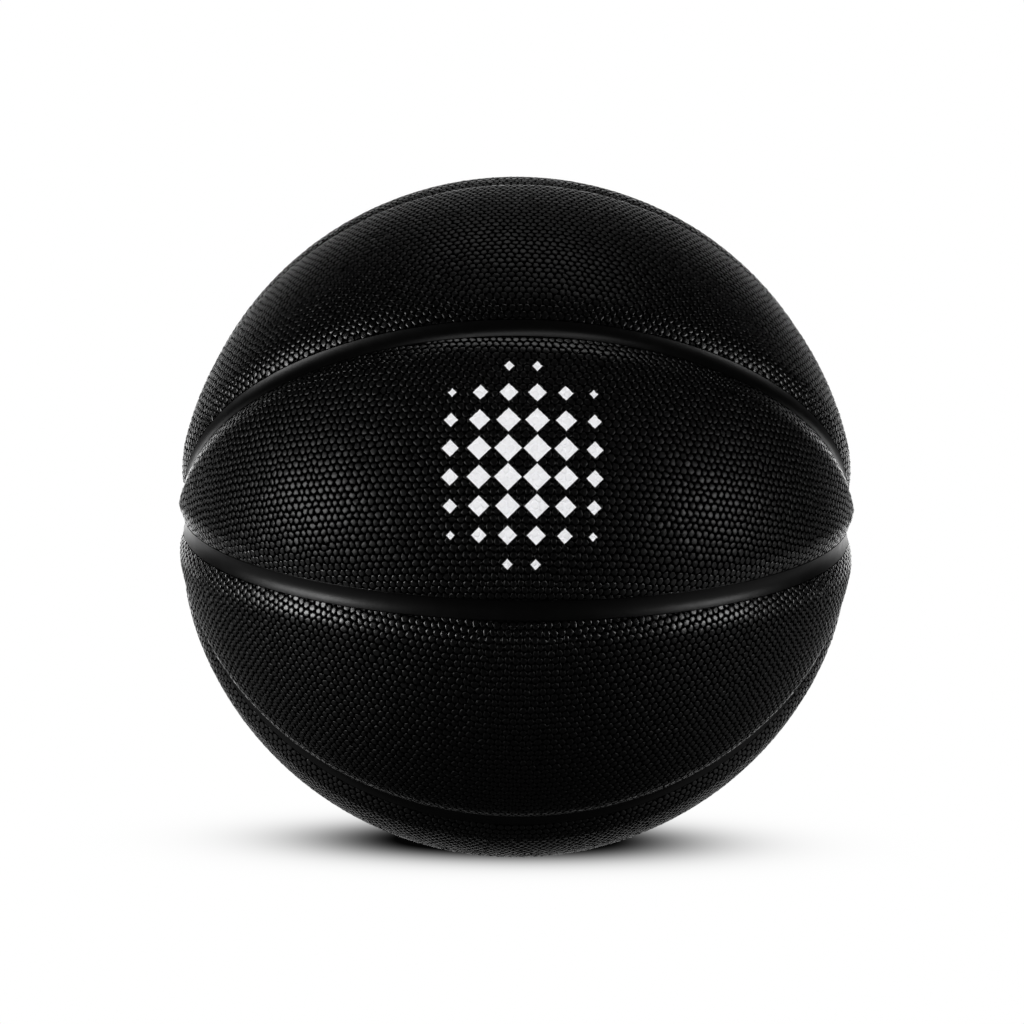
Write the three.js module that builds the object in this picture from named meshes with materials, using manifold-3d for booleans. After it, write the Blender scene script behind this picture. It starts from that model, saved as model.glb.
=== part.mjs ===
// Basketball: eight lune-shaped cover panels on a moulded rubber carcass, with winding, bladder and valve.
// Millimetres, +Z up, origin at the ball's centre. All seams meet at two poles on the X axis,
// and the valve is in the pole at +X. The side seen first faces -Y.
import * as THREE from 'three';
import { mergeVertices } from 'three/addons/utils/BufferGeometryUtils.js';
import Module from 'manifold-3d';

const wasm = await Module();
wasm.setup();

// Driving dimensions
const CIRCUMFERENCE = 749.3; // over the crowns of the panels, a size 7 ball
const PANEL_COUNT = 8;
const SEAM_DIP_DEG = 10.8; // how far the front seam lies below the level of the centre

const COVER_T = 3.1; // panel thickness at its crown
const EDGE_T = 0.6; // panel thickness at its cut edge
const CROWN_RISE = 0.4; // slow swell from the skived border to the middle of a panel
const SKIVE_W = 7.5; // width of the thinned border
const TIP_R = 3; // rounding of a panel's two tips

const CHANNEL_W = 6.8; // between the cut edges of neighbouring panels
const CHANNEL_DEPTH = 0.8; // hollow of the channel between its lips
const LIP_STEP = 0.15; // lips of the channel below the cut edges
const CARCASS_T = 1.6; // rubber under the panels
const WINDING_T = 1;
const BLADDER_T = 1.2;

const HOUSING_D = 12; // valve housing where it passes the layers
const HOUSING_L = 19;
const FLANGE_D = 26;
const FLANGE_T = 1.5;
const CORE_D = 7; // head of the valve core
const CORE_END_D = 5.6; // its inner end
const NEEDLE_D = 2.4;
const NEEDLE_MOUTH_D = 4.2; // countersink that guides the needle
const NEEDLE_DEPTH = 13;

// Clearances
const EDGE_GAP = 0.3; // cut edge to channel lip
const LAYER_GAP = 0.3; // panel to carcass, and layer to layer
const VALVE_GAP = 0.3; // bores around the housing and the core
const FACE_SINK = 0.2; // valve face below the floor of the channels

// Facets
const TIP_STEPS = 2;
const ARC_STEPS = 8; // from a tip to the middle of a panel
const SHELL_STEPS = 10; // pole to pole on the inner layers
const SHELL_SIDES = 20;
const VALVE_SIDES = 24;

// Sizes worked out from the driving dimensions
const BALL_R = CIRCUMFERENCE / (2 * Math.PI);
const HALF_SECTOR = Math.PI / PANEL_COUNT;
const PANEL_INSET = CHANNEL_W / 2;
const RIB_INSET = PANEL_INSET - EDGE_GAP;
const SKIVE_DROP = COVER_T - EDGE_T - CROWN_RISE;
const SWELL_W = BALL_R * HALF_SECTOR - PANEL_INSET;
const PANEL_INNER_R = BALL_R - COVER_T;
const POCKET_R = PANEL_INNER_R - LAYER_GAP;
const LIP_R = PANEL_INNER_R + EDGE_T - LIP_STEP;
const FLOOR_R = LIP_R - CHANNEL_DEPTH;
const CARCASS_INNER_R = POCKET_R - CARCASS_T;
const WINDING_R = CARCASS_INNER_R - LAYER_GAP;
const BLADDER_R = WINDING_R - WINDING_T - LAYER_GAP;
const BLADDER_INNER_R = BLADDER_R - BLADDER_T;
const BORE_R = HOUSING_D / 2 + VALVE_GAP;
const FLANGE_R = FLANGE_D / 2;
const FACE_X = FLOOR_R - FACE_SINK;

// Direction at an angle from the +X pole and an angle down from the front
function direction(polar, azimuth) {
  return new THREE.Vector3(
    Math.cos(polar),
    -Math.sin(polar) * Math.cos(azimuth),
    -Math.sin(polar) * Math.sin(azimuth),
  );
}

// Rows of one lune outline, pole to pole: polar angle and half angle about the X axis.
// The sides keep a distance to the seam planes, and the tips are arcs that touch both sides.
function luneRows(inset, tipRadius) {
  const tipCentre = Math.asin((inset + tipRadius) / (BALL_R * Math.sin(HALF_SECTOR)));
  const rows = [];
  for (let i = 0; i < TIP_STEPS; i += 1) {
    const turn = ((Math.PI / 2 - HALF_SECTOR) * i) / TIP_STEPS;
    const polar = tipCentre - (tipRadius * Math.cos(turn)) / BALL_R;
    const half = Math.asin((tipRadius * Math.sin(turn)) / (BALL_R * Math.sin(polar)));
    rows.push({ polar, half });
  }
  const tangent = tipCentre - (tipRadius * Math.sin(HALF_SECTOR)) / BALL_R;
  for (let i = 0; i <= ARC_STEPS; i += 1) {
    const polar = THREE.MathUtils.lerp(tangent, Math.PI / 2, i / ARC_STEPS);
    rows.push({ polar, half: HALF_SECTOR - Math.asin(inset / (BALL_R * Math.sin(polar))) });
  }
  const mirrored = rows.slice(0, -1).reverse();
  return rows.concat(mirrored.map((row) => ({ polar: Math.PI - row.polar, half: row.half })));
}

const PANEL_ROWS = luneRows(PANEL_INSET, TIP_R);
const POCKET_ROWS = luneRows(RIB_INSET, TIP_R + EDGE_GAP);

// Half width of a row along the surface
function rowWidth(row) {
  return row.half * BALL_R * Math.sin(row.polar);
}

// Offsets of a panel's stations from its middle line, edge to edge
function panelStations(width) {
  const crease = width - Math.min(SKIVE_W, width / 2);
  return [-width, -crease, -crease / 2, 0, crease / 2, crease, width];
}

// Radius of a panel's outer face at a distance from its cut edge
function panelRadius(fromEdge) {
  const skive = 1 - Math.min(1, fromEdge / SKIVE_W);
  const swell = 1 - Math.min(1, fromEdge / SWELL_W);
  return BALL_R - SKIVE_DROP * skive - CROWN_RISE * swell * swell;
}

// Radius of the channel's surface at a distance from the seam plane
function channelRadius(fromSeam) {
  const share = Math.min(1, fromSeam / RIB_INSET);
  return FLOOR_R + CHANNEL_DEPTH * share * share;
}

// Closed geometry of positions only, without collapsed triangles or pairs that lie back to back
function closed(geometry) {
  const bare = new THREE.BufferGeometry();
  bare.setAttribute('position', geometry.attributes.position);
  bare.setIndex(geometry.index);
  const merged = mergeVertices(bare);
  const source = merged.index.array;
  const kept = new Map();
  for (let i = 0; i < source.length; i += 3) {
    const corners = [source[i], source[i + 1], source[i + 2]];
    const key = [...corners].sort((a, b) => a - b).join();
    if (new Set(corners).size === 3) {
      if (kept.has(key)) {
        kept.delete(key);
      } else {
        kept.set(key, corners);
      }
    }
  }
  merged.setIndex([...kept.values()].flat());
  return merged;
}

// Boolean solid of a closed geometry, and back
function toSolid(geometry) {
  const merged = closed(geometry);
  return new wasm.Manifold(new wasm.Mesh({
    numProp: 3,
    vertProperties: new Float32Array(merged.attributes.position.array),
    triVerts: new Uint32Array(merged.index.array),
  }));
}

function toGeometry(solid) {
  const mesh = solid.getMesh();
  const geometry = new THREE.BufferGeometry();
  geometry.setAttribute('position', new THREE.BufferAttribute(new Float32Array(mesh.vertProperties), 3));
  geometry.setIndex(new THREE.BufferAttribute(new Uint32Array(mesh.triVerts), 1));
  return geometry;
}

// One cover panel, its middle line facing the front
function panelGeometry() {
  const across = panelStations(1).length - 1;
  const along = PANEL_ROWS.length - 1;
  const box = new THREE.BoxGeometry(1, 1, 1, across, along, 1);
  const position = box.attributes.position;
  for (let i = 0; i < position.count; i += 1) {
    const row = PANEL_ROWS[Math.round((0.5 - position.getY(i)) * along)];
    const width = rowWidth(row);
    const offset = panelStations(width)[Math.round((position.getX(i) + 0.5) * across)];
    const outer = position.getZ(i) > 0;
    const radius = outer ? panelRadius(width - Math.abs(offset)) : PANEL_INNER_R;
    const azimuth = offset / (BALL_R * Math.sin(row.polar));
    const point = direction(row.polar, azimuth).multiplyScalar(radius);
    position.setXYZ(i, point.x, point.y, point.z);
  }
  return closed(box);
}

// Stations of the carcass over one sector, from seam to seam: angle from the seam and radius
function sectorStations(row) {
  const sine = BALL_R * Math.sin(row.polar);
  const lip = HALF_SECTOR - row.half;
  const fromSeam = (angle) => sine * Math.sin(angle);
  const lipRadius = row.flat ? channelRadius(fromSeam(lip)) : LIP_R;
  const floorRadius = row.flat ? lipRadius : POCKET_R;
  const inner = panelStations(rowWidth(row)).map((offset) => HALF_SECTOR + offset / sine);
  const half = Math.min(lip / 2, Math.asin(Math.min(1, RIB_INSET / 2 / sine)));
  return [
    { angle: 0, radius: FLOOR_R },
    { angle: half, radius: channelRadius(fromSeam(half)) },
    { angle: lip, radius: lipRadius },
    ...inner.map((angle) => ({ angle, radius: floorRadius })),
    { angle: 2 * HALF_SECTOR - lip, radius: lipRadius },
    { angle: 2 * HALF_SECTOR - half, radius: channelRadius(fromSeam(half)) },
  ];
}

// Carcass before its inside is hollowed: channels, lips and the pockets that the panels lie in
function carcassBlank() {
  const tip = POCKET_ROWS[0].polar;
  const roseRows = [0, tip / 3, (2 * tip) / 3].map((polar) => ({ polar, half: 0, flat: true, pole: polar === 0 }));
  const farRows = [...roseRows].reverse().map((row) => ({ ...row, polar: Math.PI - row.polar }));
  const rows = [...roseRows, ...POCKET_ROWS, ...farRows];
  const perSector = sectorStations(POCKET_ROWS[0]).length;
  const sides = PANEL_COUNT * perSector;
  const sphere = new THREE.SphereGeometry(1, sides, rows.length - 1);
  const position = sphere.attributes.position;
  for (let i = 0; i < position.count; i += 1) {
    const row = rows[Math.floor(i / (sides + 1))];
    const side = (i % (sides + 1)) % sides;
    const point = new THREE.Vector3(FLOOR_R * Math.sign(Math.PI / 2 - row.polar), 0, 0);
    if (!row.pole) {
      const station = sectorStations(row)[side % perSector];
      const azimuth = 2 * HALF_SECTOR * Math.floor(side / perSector) + station.angle;
      point.copy(direction(row.polar, azimuth)).multiplyScalar(station.radius);
    }
    position.setXYZ(i, point.x, point.y, point.z);
  }
  return sphere;
}

// Angles from the +X pole down a layer's profile, with a ring at the rim of the valve's flange
function profileAngles(radius, boreRadius) {
  const first = Math.asin(boreRadius / radius);
  const rim = Math.asin((FLANGE_R + VALVE_GAP) / radius);
  const angles = [first];
  for (let i = 0; i <= SHELL_STEPS; i += 1) {
    angles.push(THREE.MathUtils.lerp(rim, Math.PI, i / SHELL_STEPS));
  }
  return angles;
}

// Profile points at a radius, x away from the axis and y along it
function arcPoints(radius, boreRadius) {
  return profileAngles(radius, boreRadius).map((angle) => (
    new THREE.Vector2(angle === Math.PI ? 0 : radius * Math.sin(angle), radius * Math.cos(angle))
  ));
}

// Body turned about the X axis
function turned(points, sides) {
  return new THREE.LatheGeometry(points, sides).rotateZ(-Math.PI / 2);
}

// Thin spherical layer, open at the valve
function layerGeometry(radius, thickness) {
  const outer = arcPoints(radius, BORE_R).reverse();
  const inner = arcPoints(radius - thickness, BORE_R);
  return closed(turned([...outer, ...inner], SHELL_SIDES));
}

// Carcass: the blank less its hollow and the valve's bore
function carcassGeometry() {
  const cavity = arcPoints(CARCASS_INNER_R, BORE_R).reverse();
  const bore = [new THREE.Vector2(BORE_R, BALL_R), new THREE.Vector2(0, BALL_R)];
  return toGeometry(toSolid(carcassBlank()).subtract(toSolid(turned([...cavity, ...bore], SHELL_SIDES))));
}

// Valve housing: a tube through the layers with a flange under the bladder
function housingGeometry() {
  const tube = HOUSING_D / 2;
  const bore = CORE_D / 2 + VALVE_GAP;
  const flangeTop = Math.sqrt(BLADDER_INNER_R ** 2 - FLANGE_R ** 2) - VALVE_GAP;
  return closed(turned([
    new THREE.Vector2(bore, FACE_X - HOUSING_L),
    new THREE.Vector2(tube, FACE_X - HOUSING_L),
    new THREE.Vector2(tube, flangeTop - FLANGE_T),
    new THREE.Vector2(FLANGE_R, flangeTop - FLANGE_T),
    new THREE.Vector2(FLANGE_R, flangeTop),
    new THREE.Vector2(tube, flangeTop),
    new THREE.Vector2(tube, FACE_X),
    new THREE.Vector2(bore, FACE_X),
    new THREE.Vector2(bore, FACE_X - HOUSING_L),
  ], VALVE_SIDES));
}

// Valve core: a tapered plug with a countersunk, blind needle hole
function coreGeometry() {
  const sink = (NEEDLE_MOUTH_D - NEEDLE_D) / 2;
  return closed(turned([
    new THREE.Vector2(0, FACE_X - HOUSING_L),
    new THREE.Vector2(CORE_END_D / 2, FACE_X - HOUSING_L),
    new THREE.Vector2(CORE_D / 2, FACE_X - CORE_D),
    new THREE.Vector2(CORE_D / 2, FACE_X),
    new THREE.Vector2(NEEDLE_MOUTH_D / 2, FACE_X),
    new THREE.Vector2(NEEDLE_D / 2, FACE_X - sink),
    new THREE.Vector2(NEEDLE_D / 2, FACE_X - NEEDLE_DEPTH),
    new THREE.Vector2(0, FACE_X - NEEDLE_DEPTH),
  ], VALVE_SIDES));
}

// Finishes
const LEATHER = { color: 0x0b0b0b, roughness: 0.42, metalness: 0 };
const CHANNEL_RUBBER = { color: 0x090909, roughness: 0.35, metalness: 0 };
const THREAD = { color: 0xd8d2c0, roughness: 0.8, metalness: 0 };
const BUTYL = { color: 0x1a1a1a, roughness: 0.6, metalness: 0 };
const VALVE_RUBBER = { color: 0x121212, roughness: 0.5, metalness: 0 };

function piece(name, geometry, finish) {
  const mesh = new THREE.Mesh(geometry, new THREE.MeshStandardMaterial(finish));
  mesh.name = name;
  return mesh;
}

// Assembly
const ball = new THREE.Group();
ball.rotation.x = THREE.MathUtils.degToRad(SEAM_DIP_DEG);
const panel = panelGeometry();
for (let i = 0; i < PANEL_COUNT; i += 1) {
  const cover = piece(`cover_panel_${i + 1}`, panel, LEATHER);
  cover.rotation.x = -(2 * i + 1) * HALF_SECTOR;
  ball.add(cover);
}
ball.add(piece('carcass', carcassGeometry(), CHANNEL_RUBBER));
ball.add(piece('winding', layerGeometry(WINDING_R, WINDING_T), THREAD));
ball.add(piece('bladder', layerGeometry(BLADDER_R, BLADDER_T), BUTYL));
ball.add(piece('valve_housing', housingGeometry(), VALVE_RUBBER));
ball.add(piece('valve_core', coreGeometry(), VALVE_RUBBER));

const basketball = new THREE.Group();
basketball.add(ball);

export default basketball;
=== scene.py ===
"""A black basketball with eight pebbled panels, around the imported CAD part. Metres, the ball's poles on X."""

import math

import bpy
import numpy as np
from mathutils import Matrix, Vector
from mathutils.kdtree import KDTree


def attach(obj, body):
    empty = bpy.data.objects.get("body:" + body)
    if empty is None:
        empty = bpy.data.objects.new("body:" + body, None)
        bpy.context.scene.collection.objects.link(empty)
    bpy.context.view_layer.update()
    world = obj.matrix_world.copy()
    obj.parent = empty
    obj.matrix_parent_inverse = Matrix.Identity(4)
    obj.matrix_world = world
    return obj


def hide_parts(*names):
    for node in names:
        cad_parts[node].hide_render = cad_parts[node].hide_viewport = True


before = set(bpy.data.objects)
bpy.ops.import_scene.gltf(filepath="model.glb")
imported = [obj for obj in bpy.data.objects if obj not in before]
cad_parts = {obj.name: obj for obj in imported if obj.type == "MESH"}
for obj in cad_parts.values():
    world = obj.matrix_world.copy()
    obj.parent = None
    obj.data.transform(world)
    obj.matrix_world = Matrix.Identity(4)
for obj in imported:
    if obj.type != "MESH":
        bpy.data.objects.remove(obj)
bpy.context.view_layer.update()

# Sizes of the CAD part
MM = 0.001
BALL_R = 749.3 / (2 * math.pi) * MM
PANELS = 8
HALF_SECTOR = math.pi / PANELS
SEAM_DIP = math.radians(10.8)
COVER_T = 3.1 * MM
EDGE_T = 0.6 * MM
CROWN_RISE = 0.4 * MM
SKIVE_W = 7.5 * MM
SHOULDER_W = 9.5 * MM
SKIVE_DROP = COVER_T - EDGE_T - CROWN_RISE
TIP_R = 3 * MM
GAP = 0.3 * MM
PANEL_INSET = 3.4 * MM
RIB_INSET = PANEL_INSET - GAP
SWELL_W = BALL_R * HALF_SECTOR - PANEL_INSET
LIP_STEP = 0.15 * MM
CHANNEL_DEPTH = 0.8 * MM
FACE_SINK = 0.2 * MM
CARCASS_T = 1.6 * MM
WINDING_T = 1 * MM
BLADDER_T = 1.2 * MM
LIP_R = BALL_R - COVER_T + EDGE_T - LIP_STEP
FLOOR_R = LIP_R - CHANNEL_DEPTH
POCKET_R = BALL_R - COVER_T - GAP
FACE_X = FLOOR_R - FACE_SINK
CARCASS_INNER_R = POCKET_R - CARCASS_T
BLADDER_INNER_R = CARCASS_INNER_R - GAP - WINDING_T - GAP - BLADDER_T
BORE_R = 6.3 * MM
HOUSING_R = 6 * MM
HOUSING_L = 19 * MM
FLANGE_R = 13 * MM
FLANGE_T = 1.5 * MM
SOFTEN = 0.3 * MM
CORE_R = 3.5 * MM
CORE_END_R = 2.8 * MM
NEEDLE_R = 1.2 * MM
NEEDLE_MOUTH_R = 2.1 * MM
NEEDLE_DEPTH = 13 * MM
GROUND_Z = -119.2 * MM

# Pebbles: each is shaken out of its row, leans by TILT and sinks by up to SINK of its height
PITCH = 2.55 * MM
PEBBLE_H = 0.36 * MM
JITTER = 0.3 * MM
TILT = 0.05
SINK = 0.12
WALL_W, WALL_SHARE = 0.15 * MM, 0.62
DOME_W = 0.32 * MM

# The panels' undersides: rings from the edge to the middle line, and stations along it up to the last one
RING_SHARES = (0.8, 0.6, 0.4, 0.2, 0)
STATIONS = 22
LAST_STATION = math.radians(80)

# The printed field, in millimetres on the flat panel
FLAT_SPAN = 400
FIELD_ALONG, FIELD_ACROSS = 31.5, 35
DIAMOND_PITCH = 9.0
PRINT_WHITE = 0.86

WELD = 0.001 * MM

rng = np.random.default_rng(7)


# Shader maths
class Socket:
    """A shader output that takes part in sums."""

    def __init__(self, tree, output):
        self.tree, self.output = tree, output

    def _make(self, operation, *values, clamp=False):
        node = self.tree.nodes.new("ShaderNodeMath")
        node.operation, node.use_clamp = operation, clamp
        for slot, value in zip(node.inputs, values):
            if isinstance(value, Socket):
                self.tree.links.new(value.output, slot)
            else:
                slot.default_value = value
        return Socket(self.tree, node.outputs[0])

    def node(self, kind, wanted, values, **settings):
        """Any other node: its output by name, with inputs and settings."""
        made = self.tree.nodes.new(kind)
        for name, value in settings.items():
            setattr(made, name, value)
        for name, value in values.items():
            if isinstance(value, Socket):
                self.tree.links.new(value.output, made.inputs[name])
            else:
                made.inputs[name].default_value = value
        return Socket(self.tree, made.outputs[wanted])

    def __add__(self, other):
        return self._make("ADD", self, other)

    def __mul__(self, other):
        return self._make("MULTIPLY", self, other)

    def __sub__(self, other):
        return self._make("SUBTRACT", self, other)

    def __rsub__(self, other):
        return self._make("SUBTRACT", other, self)

    __radd__, __rmul__ = __add__, __mul__

    def step(self, low, high):
        """0 below low, 1 above high."""
        return self.node("ShaderNodeMapRange", "Result", {"Value": self, "From Min": low, "From Max": high})

    def f(self, operation, *others):
        return self._make(operation, self, *others)


def material(name, color, roughness, **values):
    """A principled material and its parts: the material, its tree, the shader and a socket to build on."""
    mat = bpy.data.materials.new(name)
    mat.use_nodes = True
    shader = mat.node_tree.nodes["Principled BSDF"]
    shader.inputs["Base Color"].default_value = (*color, 1)
    shader.inputs["Roughness"].default_value = roughness
    for key, value in values.items():
        shader.inputs[key.replace("_", " ")].default_value = value
    coords = mat.node_tree.nodes.new("ShaderNodeTexCoord")
    return mat, shader, Socket(mat.node_tree, coords.outputs["Object"])


def feed(shader, name, socket):
    socket.tree.links.new(socket.output, shader.inputs[name])


def bump(socket, height, distance, strength=1.0):
    values = {"Height": height, "Distance": distance, "Strength": strength}
    return socket.node("ShaderNodeBump", "Normal", values)


def noise(at, scale, detail=2.0, rough=0.5):
    values = {"Vector": at, "Scale": scale, "Detail": detail, "Roughness": rough}
    return at.node("ShaderNodeTexNoise", "Fac", values)


def leather(name, mark=None):
    """Black pebbled leather, dull between the pebbles and glossier by the seams; its colour is darkened between
    the pebbles as painted shade, and a mark is printed on it.
    """
    mat, shader, at = material(name, (0.004, 0.004, 0.0042), 0.34, Coat_Roughness=0.24, Coat_IOR=1.9)
    tree = mat.node_tree
    lift = at.node("ShaderNodeAttribute", "Fac", {}, attribute_name="lift")
    grain = noise(at, 1300, 3, 0.6)
    press = at.node("ShaderNodeAttribute", "Fac", {}, attribute_name="press").step(0.05, 0.3)
    feed(shader, "Roughness", 0.3 + 0.08 * noise(at, 55) + 0.12 * grain - 0.12 * press)
    feed(shader, "Coat Weight", 0.23 + 0.77 * press)
    feed(shader, "Normal", bump(at, grain, 0.00025, 0.7))
    # Painted shade: the black is darker in the gaps between the pebbles and lighter on their tops, following
    # their lift.
    black_with_painted_gap_shade = 0.0003 + 0.0008 * lift
    shade = black_with_painted_gap_shade if mark is None else black_with_painted_gap_shade + mark(at) * (PRINT_WHITE - black_with_painted_gap_shade)
    grey = at.node("ShaderNodeCombineColor", "Color", {"Red": shade, "Green": shade, "Blue": shade * 1.02})
    feed(shader, "Base Color", grey)
    gap = tree.nodes.new("ShaderNodeBsdfDiffuse")
    gap.inputs["Roughness"].default_value = 1
    tree.links.new(grey.output, gap.inputs["Color"])
    mix = tree.nodes.new("ShaderNodeMixShader")
    tree.links.new(lift.step(0.15, 0.6).output, mix.inputs[0])
    tree.links.new(gap.outputs[0], mix.inputs[1])
    tree.links.new(shader.outputs[0], mix.inputs[2])
    tree.links.new(mix.outputs[0], tree.nodes["Material Output"].inputs["Surface"])
    return mat


def diamonds(at):
    """A field of diamonds that grow smaller towards its edge, measured on the flat panel."""
    flat = at.node("ShaderNodeUVMap", "UV", {}, uv_map="flat")
    axes = [flat.node("ShaderNodeSeparateXYZ", name, {"Vector": flat}) for name in "XY"]
    along, across = [(axis - 0.5) * FLAT_SPAN for axis in axes]
    cells = [(axis * (1 / DIAMOND_PITCH)).f("FRACT") - 0.5 for axis in (along, across)]
    mid_along, mid_across = [axis - DIAMOND_PITCH * cell for axis, cell in zip((along, across), cells)]
    reach = (mid_along * mid_along) * (1 / FIELD_ALONG**2) + (mid_across * mid_across) * (1 / FIELD_ACROSS**2)
    size = 0.5 - 0.36 * reach
    inside = (size - cells[0].f("ABSOLUTE") - cells[1].f("ABSOLUTE")).step(0, 0.03)
    return inside * (1 - reach.step(0.94, 0.96))


cover_mat = leather("cover_leather")
print_mat = leather("cover_leather_print", diamonds)
rubber_mat, rubber_shader, rubber_at = material(
    "channel_rubber", (0.0006, 0.0006, 0.0006), 0.3, Specular_IOR_Level=0.8
)
feed(rubber_shader, "Roughness", 0.3 + 0.14 * noise(rubber_at, 180, 3))
feed(rubber_shader, "Normal", bump(rubber_at, noise(rubber_at, 900, 3), 0.0001, 0.25))
valve_mat, _, _ = material("valve_rubber", (0.012, 0.012, 0.012), 0.45)
thread_mat, _, _ = material("winding_thread", (0.68, 0.64, 0.53), 0.8)
butyl_mat, _, _ = material("bladder_butyl", (0.02, 0.02, 0.02), 0.6)


# Modelling helpers
def start():
    if bpy.context.object and bpy.context.object.mode != "OBJECT":
        bpy.ops.object.mode_set(mode="OBJECT")
    bpy.ops.object.select_all(action="DESELECT")


def named(name, mat):
    obj = bpy.context.object
    obj.name = obj.data.name = name
    obj.data.materials.clear()
    obj.data.materials.append(mat)
    return obj


def edit(obj):
    start()
    obj.select_set(True)
    bpy.context.view_layer.objects.active = obj
    bpy.ops.object.mode_set(mode="EDIT")


def leave():
    bpy.ops.object.mode_set(mode="OBJECT")


def points(obj):
    flat = np.empty(len(obj.data.vertices) * 3)
    obj.data.vertices.foreach_get("co", flat)
    return flat.reshape(-1, 3)


def move_to(obj, places):
    obj.data.vertices.foreach_set("co", np.ascontiguousarray(places, dtype=np.float32).ravel())
    obj.data.update()


def pick(obj, mask):
    """Selects vertices by a mask, in object mode."""
    mesh = obj.data
    mesh.vertices.foreach_set("select", np.ascontiguousarray(mask))
    mesh.edges.foreach_set("select", np.zeros(len(mesh.edges), dtype=bool))
    mesh.polygons.foreach_set("select", np.zeros(len(mesh.polygons), dtype=bool))


# One cover panel, flat at first: x along its middle line, y across it, z out of the ball
def edge_angle(phi):
    """Half width of a panel as an angle from its middle plane, at an angle along its middle line."""
    return np.arctan(math.tan(HALF_SECTOR) * np.maximum(np.cos(phi), 0))


def from_edge(phi, lam):
    """Distance from the nearer long edge of the panel."""
    side = math.sin(HALF_SECTOR) * np.cos(lam) * np.cos(phi) - math.cos(HALF_SECTOR) * np.abs(np.sin(lam))
    return np.maximum(BALL_R * side - PANEL_INSET, 0)


def face_radius(phi, lam):
    """Radius of the leather's ground between the pebbles."""
    inward = from_edge(phi, lam)
    shoulder = 1 - np.minimum(1, inward / SHOULDER_W)
    swell = 1 - np.minimum(1, inward / SWELL_W)
    return BALL_R - PEBBLE_H - SKIVE_DROP * shoulder**2 - CROWN_RISE * swell**2


def direction(phi, lam):
    """Unit vector at an angle along a panel's middle line and one across it, the panel facing -Y."""
    return np.column_stack([np.cos(lam) * np.sin(phi), -np.cos(lam) * np.cos(phi), np.sin(lam)])


def lattice():
    """Flat triangle lattice, cut roughly to the panel's outline and shaken a little."""
    row_pitch = PITCH * math.sqrt(3) / 2
    columns = 2 * math.ceil(BALL_R * math.pi / 2 / PITCH)
    rows = 2 * math.ceil(BALL_R * HALF_SECTOR / row_pitch) + 2
    start()
    bpy.ops.mesh.primitive_grid_add(x_subdivisions=columns, y_subdivisions=rows, size=2)
    obj = named("cover_panel", cover_mat)
    at = points(obj)
    column = np.round((at[:, 0] + 1) / 2 * columns)
    row = np.round((at[:, 1] + 1) / 2 * rows)
    x = (column - columns / 2 + 0.5 * (row % 2)) * PITCH
    y = (row - rows / 2) * row_pitch
    outside = np.abs(y) > BALL_R * edge_angle(x / BALL_R) + 0.5 * PITCH
    move_to(obj, np.column_stack([x, y, 0 * x]))
    pick(obj, outside)
    edit(obj)
    bpy.ops.mesh.select_mode(type="VERT")
    bpy.ops.mesh.delete(type="VERT")
    bpy.ops.mesh.select_all(action="SELECT")
    bpy.ops.mesh.quads_convert_to_tris(quad_method="SHORTEST_DIAGONAL")
    leave()
    at = points(obj)
    move_to(obj, at + np.column_stack([rng.normal(0, JITTER, (len(at), 2)), np.zeros(len(at))]))
    return obj


def raise_pebbles(obj):
    """Bevels each lattice point into a pebble's outline and raises it by a steep wall and a shoulder."""
    middles_count = len(obj.data.vertices)
    middles = KDTree(middles_count)
    for i, vertex in enumerate(obj.data.vertices):
        middles.insert(vertex.co, i)
    middles.balance()
    edit(obj)
    bpy.ops.mesh.select_mode(type="VERT")
    bpy.ops.mesh.select_all(action="SELECT")
    bpy.ops.mesh.bevel(offset_type="PERCENT", offset_pct=49.9, segments=1, affect="VERTICES")
    bpy.ops.mesh.select_all(action="SELECT")
    bpy.ops.mesh.remove_doubles(threshold=0.02 * MM)
    bpy.ops.mesh.select_mode(type="FACE")
    bpy.ops.mesh.select_all(action="DESELECT")
    leave()
    chosen = [middles.find(face.center)[2] < 0.25 * PITCH and face.loop_total > 4 for face in obj.data.polygons]
    obj.data.polygons.foreach_set("select", chosen)
    edit(obj)
    bpy.ops.mesh.inset(use_individual=True, thickness=WALL_W, depth=WALL_SHARE * PEBBLE_H)
    bpy.ops.mesh.inset(use_individual=True, thickness=DOME_W, depth=(1 - WALL_SHARE) * PEBBLE_H)
    leave()
    tilt, drop = rng.normal(0, TILT, (middles_count, 2)), rng.uniform(0, SINK * PEBBLE_H, middles_count)
    at = points(obj)
    for i in np.nonzero(at[:, 2] > 0.9 * PEBBLE_H)[0]:
        middle, k, _ = middles.find((at[i, 0], at[i, 1], 0))
        at[i, 2] += tilt[k, 0] * (at[i, 0] - middle.x) + tilt[k, 1] * (at[i, 1] - middle.y) - drop[k]
    move_to(obj, at)


def wrap(obj):
    """Lays the flat panel on the ball. A UV layer keeps its flat places, two attributes its relief and skive."""
    at = points(obj)
    phi, lam = at[:, 0] / BALL_R, at[:, 1] / BALL_R
    loops = np.empty(len(obj.data.loops), dtype=np.int32)
    obj.data.loops.foreach_get("vertex_index", loops)
    layer = obj.data.uv_layers[0] if obj.data.uv_layers else obj.data.uv_layers.new()
    layer.name = "flat"
    layer.data.foreach_set("uv", (at[loops, :2] / (FLAT_SPAN * MM) + 0.5).ravel())
    press = 1 - np.minimum(1, from_edge(phi, lam) / SKIVE_W)
    for name, values in (("lift", at[:, 2] / PEBBLE_H), ("press", press)):
        obj.data.attributes.new(name, "FLOAT", "POINT").data.foreach_set("value", values)
    radius = face_radius(phi, lam) + at[:, 2] * (1 - 0.4 * press)
    move_to(obj, direction(phi, lam) * radius[:, None])


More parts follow.
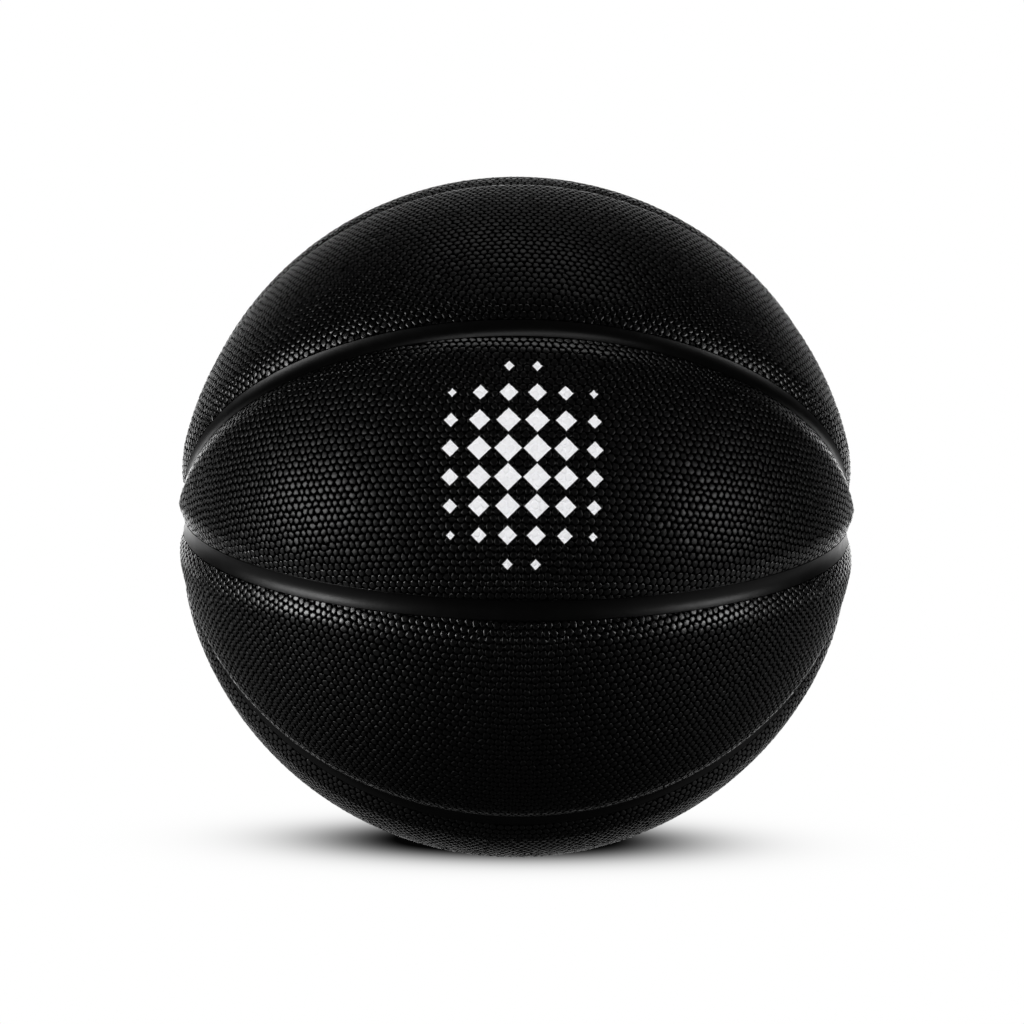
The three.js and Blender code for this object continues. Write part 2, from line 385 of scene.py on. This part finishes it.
def trim(obj):
    """Cuts the panel to its outline, its tips rounded by short flats, and closes it with an underside."""
    side = np.array([0, math.sin(HALF_SECTOR), math.cos(HALF_SECTOR)])
    tip = math.asin((PANEL_INSET + TIP_R) / (BALL_R * math.sin(HALF_SECTOR)))
    cuts = []
    for up in (1, -1):
        normal = side * [1, 1, up]
        cuts.append((-PANEL_INSET * normal, normal))
    for end in (1, -1):
        centre = BALL_R * np.array([end * math.cos(tip), -math.sin(tip), 0])
        out = np.array([end * math.sin(tip), math.cos(tip), 0])
        for turn in np.radians([-54, -27, 0, 27, 54]):
            normal = math.cos(turn) * out + np.array([0, 0, math.sin(turn)])
            cuts.append((centre + TIP_R * normal, normal))
    edit(obj)
    for place, normal in cuts:
        bpy.ops.mesh.select_all(action="SELECT")
        bpy.ops.mesh.bisect(plane_co=place, plane_no=normal, clear_outer=True)
    bpy.ops.mesh.select_all(action="SELECT")
    bpy.ops.mesh.delete_loose()
    bpy.ops.mesh.select_mode(type="EDGE")
    bpy.ops.mesh.select_all(action="DESELECT")
    bpy.ops.mesh.select_non_manifold(extend=False)
    for share in (None, *RING_SHARES):
        bpy.ops.mesh.extrude_edges_move()
        leave()
        ring = np.empty(len(obj.data.vertices), dtype=bool)
        obj.data.vertices.foreach_get("select", ring)
        at = points(obj)
        phi = np.arctan2(at[ring, 0], -at[ring, 1])
        lam = np.arctan2(at[ring, 2], np.hypot(at[ring, 0], at[ring, 1]))
        if share is not None:
            station = np.clip(np.round(phi / LAST_STATION * STATIONS), -STATIONS, STATIONS)
            phi = station / STATIONS * LAST_STATION
            lam = np.sign(lam) * share * (edge_angle(phi) - PANEL_INSET / BALL_R) * (np.abs(station) < STATIONS)
        at[ring] = direction(phi, lam) * (BALL_R - COVER_T)
        move_to(obj, at)
        edit(obj)
        if share is not None:
            bpy.ops.mesh.remove_doubles(threshold=WELD, use_unselected=True)
    bpy.ops.mesh.select_all(action="SELECT")
    bpy.ops.mesh.normals_make_consistent(inside=False)
    leave()


def smooth(obj, degrees):
    start()
    obj.select_set(True)
    bpy.context.view_layer.objects.active = obj
    bpy.ops.object.shade_smooth_by_angle(angle=math.radians(degrees))


def flatten_tops(obj):
    """Lets the larger faces set the shading, so a pebble's top shines as one disc."""
    weigh = obj.modifiers.new("weigh", "WEIGHTED_NORMAL")
    weigh.mode, weigh.weight, weigh.keep_sharp = "FACE_AREA", 50, True
    bpy.ops.object.modifier_apply(modifier="weigh")


def belongs(obj, slot, *nodes):
    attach(obj, "root")
    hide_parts(*nodes)


def cover():
    first = lattice()
    raise_pebbles(first)
    wrap(first)
    trim(first)
    smooth(first, 50)
    flatten_tops(first)
    for i in range(PANELS):
        mesh = first.data if i == PANELS - 1 else first.data.copy()
        obj = first if i == PANELS - 1 else bpy.data.objects.new("panel", mesh)
        if obj is not first:
            bpy.context.collection.objects.link(obj)
        obj.name = mesh.name = f"pebbled_panel_{i + 1}"
        mesh.transform(Matrix.Rotation(SEAM_DIP - (2 * i + 1) * HALF_SECTOR, 4, "X"))
        mesh.materials[0] = print_mat if i == 0 else cover_mat
        belongs(obj, "cover", f"cover_panel_{i + 1}")


# Carcass: smooth channels, lips and the pockets under the panels
def channel_radius(from_seam):
    return FLOOR_R + (LIP_R - FLOOR_R) * np.minimum(1, from_seam / RIB_INSET) ** 2


def pocket_rows():
    """Rows from the +X pole: polar angle and the half angle of the pocket about X, 0 where there is none."""
    lip_r = TIP_R + GAP
    tip = math.asin((PANEL_INSET + TIP_R) / (BALL_R * math.sin(HALF_SECTOR)))
    end = tip - lip_r / BALL_R
    rows = [(p, 0) for p in (0, BORE_R / FLOOR_R, *np.linspace(BORE_R / FLOOR_R, end, 5)[1:-1])]
    for turn in np.linspace(0, math.pi / 2 - HALF_SECTOR, 7)[:-1]:
        polar = tip - lip_r * math.cos(turn) / BALL_R
        rows.append((polar, math.asin(lip_r * math.sin(turn) / (BALL_R * math.sin(polar)))))
    straight = tip - lip_r * math.sin(HALF_SECTOR) / BALL_R
    for polar in np.linspace(straight, math.pi / 2, 33):
        rows.append((polar, HALF_SECTOR - math.asin(RIB_INSET / (BALL_R * math.sin(polar)))))
    return rows + [(math.pi - p, h) for p, h in rows[-2::-1]], end


def carcass():
    rows, end = pocket_rows()
    shares, floor_steps = [0, 0.3, 0.6, 0.85, 1], 4
    per = 2 * (len(shares) + floor_steps)
    start()
    bpy.ops.mesh.primitive_uv_sphere_add(segments=PANELS * per, ring_count=len(rows) - 1, radius=1)
    obj = named("carcass_channels", rubber_mat)
    at = points(obj)
    ring = np.round(np.arccos(np.clip(at[:, 2], -1, 1)) / math.pi * (len(rows) - 1)).astype(int)
    turn = np.round(np.arctan2(at[:, 1], at[:, 0]) / (2 * math.pi) * PANELS * per).astype(int) % (PANELS * per)
    places = []
    for r, t in zip(ring, turn):
        polar, half = rows[r]
        near_pole = polar < end - 1e-9 or polar > math.pi - end + 1e-9
        k = t % per
        mirror = k > per // 2
        k = per - k if mirror else k
        lip = HALF_SECTOR - half
        sine = max(BALL_R * math.sin(polar), 1e-9)
        if k < len(shares):
            angle = min(lip, math.asin(min(1, shares[k] * RIB_INSET / sine))) if shares[k] < 1 else lip
            radius = channel_radius(sine * math.sin(angle)) if near_pole or shares[k] < 1 else LIP_R
        else:
            angle = lip + (HALF_SECTOR - lip) * (k - len(shares)) / floor_steps
            radius = channel_radius(sine * math.sin(angle)) if near_pole else POCKET_R if half > 0 else LIP_R
        azimuth = 2 * HALF_SECTOR * (t // per) + (2 * HALF_SECTOR - angle if mirror else angle)
        off = -radius * math.sin(polar)
        places.append((radius * math.cos(polar), off * math.cos(azimuth), off * math.sin(azimuth)))
    move_to(obj, np.array(places))
    obj.data.transform(Matrix.Rotation(SEAM_DIP, 4, "X"))
    pole = points(obj)
    pick(obj, (pole[:, 0] > 0) & (np.hypot(pole[:, 1], pole[:, 2]) < 0.5 * BORE_R))
    edit(obj)
    bpy.ops.mesh.select_mode(type="VERT")
    bpy.ops.mesh.delete(type="VERT")
    bpy.ops.mesh.select_non_manifold(extend=False)
    inner = np.linspace(math.asin(BORE_R / CARCASS_INNER_R), math.pi - 0.02, 33)
    hollow = [(CARCASS_INNER_R * math.sin(a), CARCASS_INNER_R * math.cos(a)) for a in inner]
    grow([(BORE_R, FACE_X - 0.5 * MM), *hollow], BORE_R)
    bpy.ops.mesh.merge(type="CENTER")
    bpy.ops.mesh.select_all(action="SELECT")
    bpy.ops.mesh.remove_doubles(threshold=WELD)
    bpy.ops.mesh.normals_make_consistent(inside=False)
    leave()
    smooth(obj, 40)
    belongs(obj, "channel_rubber", "carcass")


# Valve, turned about the X axis
def grow(profile, radius):
    """Extrudes the selected ring about the X axis from ring to ring, each a radius and a place along X."""
    for wide, along in profile:
        bpy.ops.mesh.extrude_edges_move()
        bpy.ops.transform.resize(value=(0, wide / radius, wide / radius), center_override=(along, 0, 0))
        radius = wide


def turned(name, profile, node, open_ends):
    """A body turned through a profile; its ends are bridged where it is a tube and filled where it isn't."""
    start()
    wide, along = profile[0]
    across_x = (0, math.pi / 2, 0)
    bpy.ops.mesh.primitive_circle_add(vertices=64, radius=wide, location=(along, 0, 0), rotation=across_x)
    bpy.ops.object.transform_apply(location=True, rotation=True, scale=True)
    obj = named(name, valve_mat)
    edit(obj)
    bpy.ops.mesh.select_mode(type="EDGE")
    bpy.ops.mesh.select_all(action="SELECT")
    grow(profile[1:], wide)
    bpy.ops.mesh.select_all(action="DESELECT")
    bpy.ops.mesh.select_non_manifold(extend=False)
    if open_ends:
        bpy.ops.mesh.bridge_edge_loops()
    else:
        bpy.ops.mesh.edge_face_add()
    bpy.ops.mesh.select_all(action="SELECT")
    bpy.ops.mesh.normals_make_consistent(inside=False)
    leave()
    smooth(obj, 35)
    belongs(obj, "valve_rubber", node)


def valve():
    """The flanged tube behind the pole and the plug in it, each turned through radius and place along X."""
    end = FACE_X - HOUSING_L
    bore = CORE_R + GAP
    top = math.sqrt(BLADDER_INNER_R**2 - FLANGE_R**2) - GAP
    under = top - FLANGE_T
    tube = [(bore, end), (HOUSING_R, end), (HOUSING_R, under), (FLANGE_R - SOFTEN, under)]
    tube += [(FLANGE_R, under + SOFTEN), (FLANGE_R, top - SOFTEN), (FLANGE_R - SOFTEN, top), (HOUSING_R, top)]
    tube += [(HOUSING_R, FACE_X - SOFTEN), (HOUSING_R - SOFTEN, FACE_X)]
    tube += [(bore + SOFTEN, FACE_X), (bore, FACE_X - SOFTEN)]
    turned("valve_tube", tube, "valve_housing", True)
    sink = NEEDLE_MOUTH_R - NEEDLE_R
    plug = [(CORE_END_R, end), (CORE_R, FACE_X - 2 * CORE_R), (CORE_R, FACE_X - SOFTEN)]
    plug += [(CORE_R - SOFTEN, FACE_X), (NEEDLE_MOUTH_R, FACE_X)]
    plug += [(NEEDLE_R, FACE_X - sink), (NEEDLE_R, FACE_X - NEEDLE_DEPTH)]
    turned("valve_plug", plug, "valve_core", False)


cover()
carcass()
valve()
for node, mat in (("winding", thread_mat), ("bladder", butyl_mat)):
    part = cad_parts[node]
    part.data.materials.clear()
    part.data.materials.append(mat)

# Ground: plain white with a painted soft shadow of the ball, an ellipse drawn into its glow, there for the
# camera only, and not from below
start()
bpy.ops.mesh.primitive_plane_add(size=60)
ground = named("ground", cover_mat)
ground.data.transform(Matrix.Translation((0, 0, GROUND_Z)))
ground_mat = bpy.data.materials.new("white_ground_painted_shadow")
ground_mat.use_nodes = True
tree = ground_mat.node_tree
tree.nodes.clear()
at = Socket(tree, tree.nodes.new("ShaderNodeTexCoord").outputs["Object"])
x, y = [at.node("ShaderNodeSeparateXYZ", name, {"Vector": at}) for name in "XY"]
# Painted shadow: a soft elliptical shadow under the ball, drawn into the ground's white glow rather than cast by
# a lamp.
spread = ((x + 0.002) * (1 / 0.0553)).f("POWER", 2) + ((y - 0.0195) * (1 / 0.0307)).f("POWER", 2)
shade = (1.6 * (spread * -1).f("EXPONENT")).f("MINIMUM", 0.95)
white_with_painted_shadow = (1 - shade).f("POWER", 2.2)
emission = tree.nodes.new("ShaderNodeEmission")
clear = tree.nodes.new("ShaderNodeBsdfTransparent")
mix = tree.nodes.new("ShaderNodeMixShader")
tree.links.new(white_with_painted_shadow.output, emission.inputs["Strength"])
seen = Socket(tree, tree.nodes.new("ShaderNodeLightPath").outputs["Is Camera Ray"])
below = Socket(tree, tree.nodes.new("ShaderNodeNewGeometry").outputs["Backfacing"])
tree.links.new((seen * (1 - below)).output, mix.inputs[0])
tree.links.new(clear.outputs[0], mix.inputs[1])
tree.links.new(emission.outputs[0], mix.inputs[2])
tree.links.new(mix.outputs[0], tree.nodes.new("ShaderNodeOutputMaterial").inputs[0])
ground.data.materials[0] = ground_mat

# Surroundings: white to the camera. What the ball mirrors is dark, but for a glow behind it, brightest level
# with the ball and weaker far below, and a faint floor that is lighter at the two sides.
world = bpy.data.worlds.new("surroundings")
bpy.context.scene.world = world
world.use_nodes = True
tree = world.node_tree
tree.nodes.clear()
back = tree.nodes.new("ShaderNodeBackground")
tree.links.new(back.outputs[0], tree.nodes.new("ShaderNodeOutputWorld").inputs[0])
path = Socket(tree, tree.nodes.new("ShaderNodeLightPath").outputs["Is Camera Ray"])
way = Socket(tree, tree.nodes.new("ShaderNodeTexCoord").outputs["Generated"])
side, behind, height = [way.node("ShaderNodeSeparateXYZ", name, {"Vector": way}) for name in "XYZ"]
level = 2 - height.f("ABSOLUTE").step(0.05, 0.3) - 0.7 * height.step(-0.42, -0.75)
glow = behind.step(0.66, 1).f("POWER", 1.7) * level
floor = height.step(0, -0.3) * (0.006 + 0.11 * side.f("ABSOLUTE").step(0.4, 0.9))
back.inputs["Color"].default_value = (1, 1, 1, 1)
tree.links.new((path + (1 - path) * (0.003 + 1.5 * glow + floor)).output, back.inputs["Strength"])


def lamp(name, way, distance, size, size_y, brightness):
    """Softbox in a direction from the ball, facing it."""
    place = Vector(way).normalized() * distance
    start()
    bpy.ops.object.light_add(type="AREA", location=place)
    obj = bpy.context.object
    obj.name = obj.data.name = name
    obj.data.shape = "RECTANGLE"
    obj.data.size, obj.data.size_y = size, size_y
    obj.data.energy = brightness * math.pi * size * size_y
    obj.rotation_euler = (-place).to_track_quat("-Z", "Y").to_euler()
    obj.visible_camera = False
    return obj


lamp("overhead", (0.05, 0.08, 0.99), 1.2, 1.0, 0.3, 0.72)
front = lamp("front_fill", (0, -1, 0.25), 1.5, 1.5, 1.5, 3.2)
front.visible_glossy = False
lamp("key_left", (-0.9, -0.36, 0.05), 1.2, 0.6, 0.3, 4.6)
lamp("key_right", (0.88, -0.44, 0.06), 1.2, 0.5, 0.25, 3.2)

# Camera: level with the ball, a little above it and slightly to its left
DISTANCE = 7.5 * BALL_R
azimuth, elevation, roll = math.radians(-0.9), math.radians(3.65), math.radians(0.75)
start()
bpy.ops.object.camera_add()
camera = bpy.context.object
camera.name = "camera"
level_part = math.cos(elevation)
back_way = Vector((math.sin(azimuth) * level_part, -math.cos(azimuth) * level_part, math.sin(elevation)))
camera.location = back_way * DISTANCE
upright = (-back_way).to_track_quat("-Z", "Y").to_matrix()
camera.rotation_euler = (upright @ Matrix.Rotation(roll, 3, "Z")).to_euler()
camera.data.lens, camera.data.sensor_width = 89, 36
camera.data.shift_x, camera.data.shift_y = -4 / 1024, 4.6 / 1024
camera.data.clip_start, camera.data.clip_end = 0.05, 200
scene = bpy.context.scene
scene.camera = camera
scene.view_settings.view_transform = "Standard"
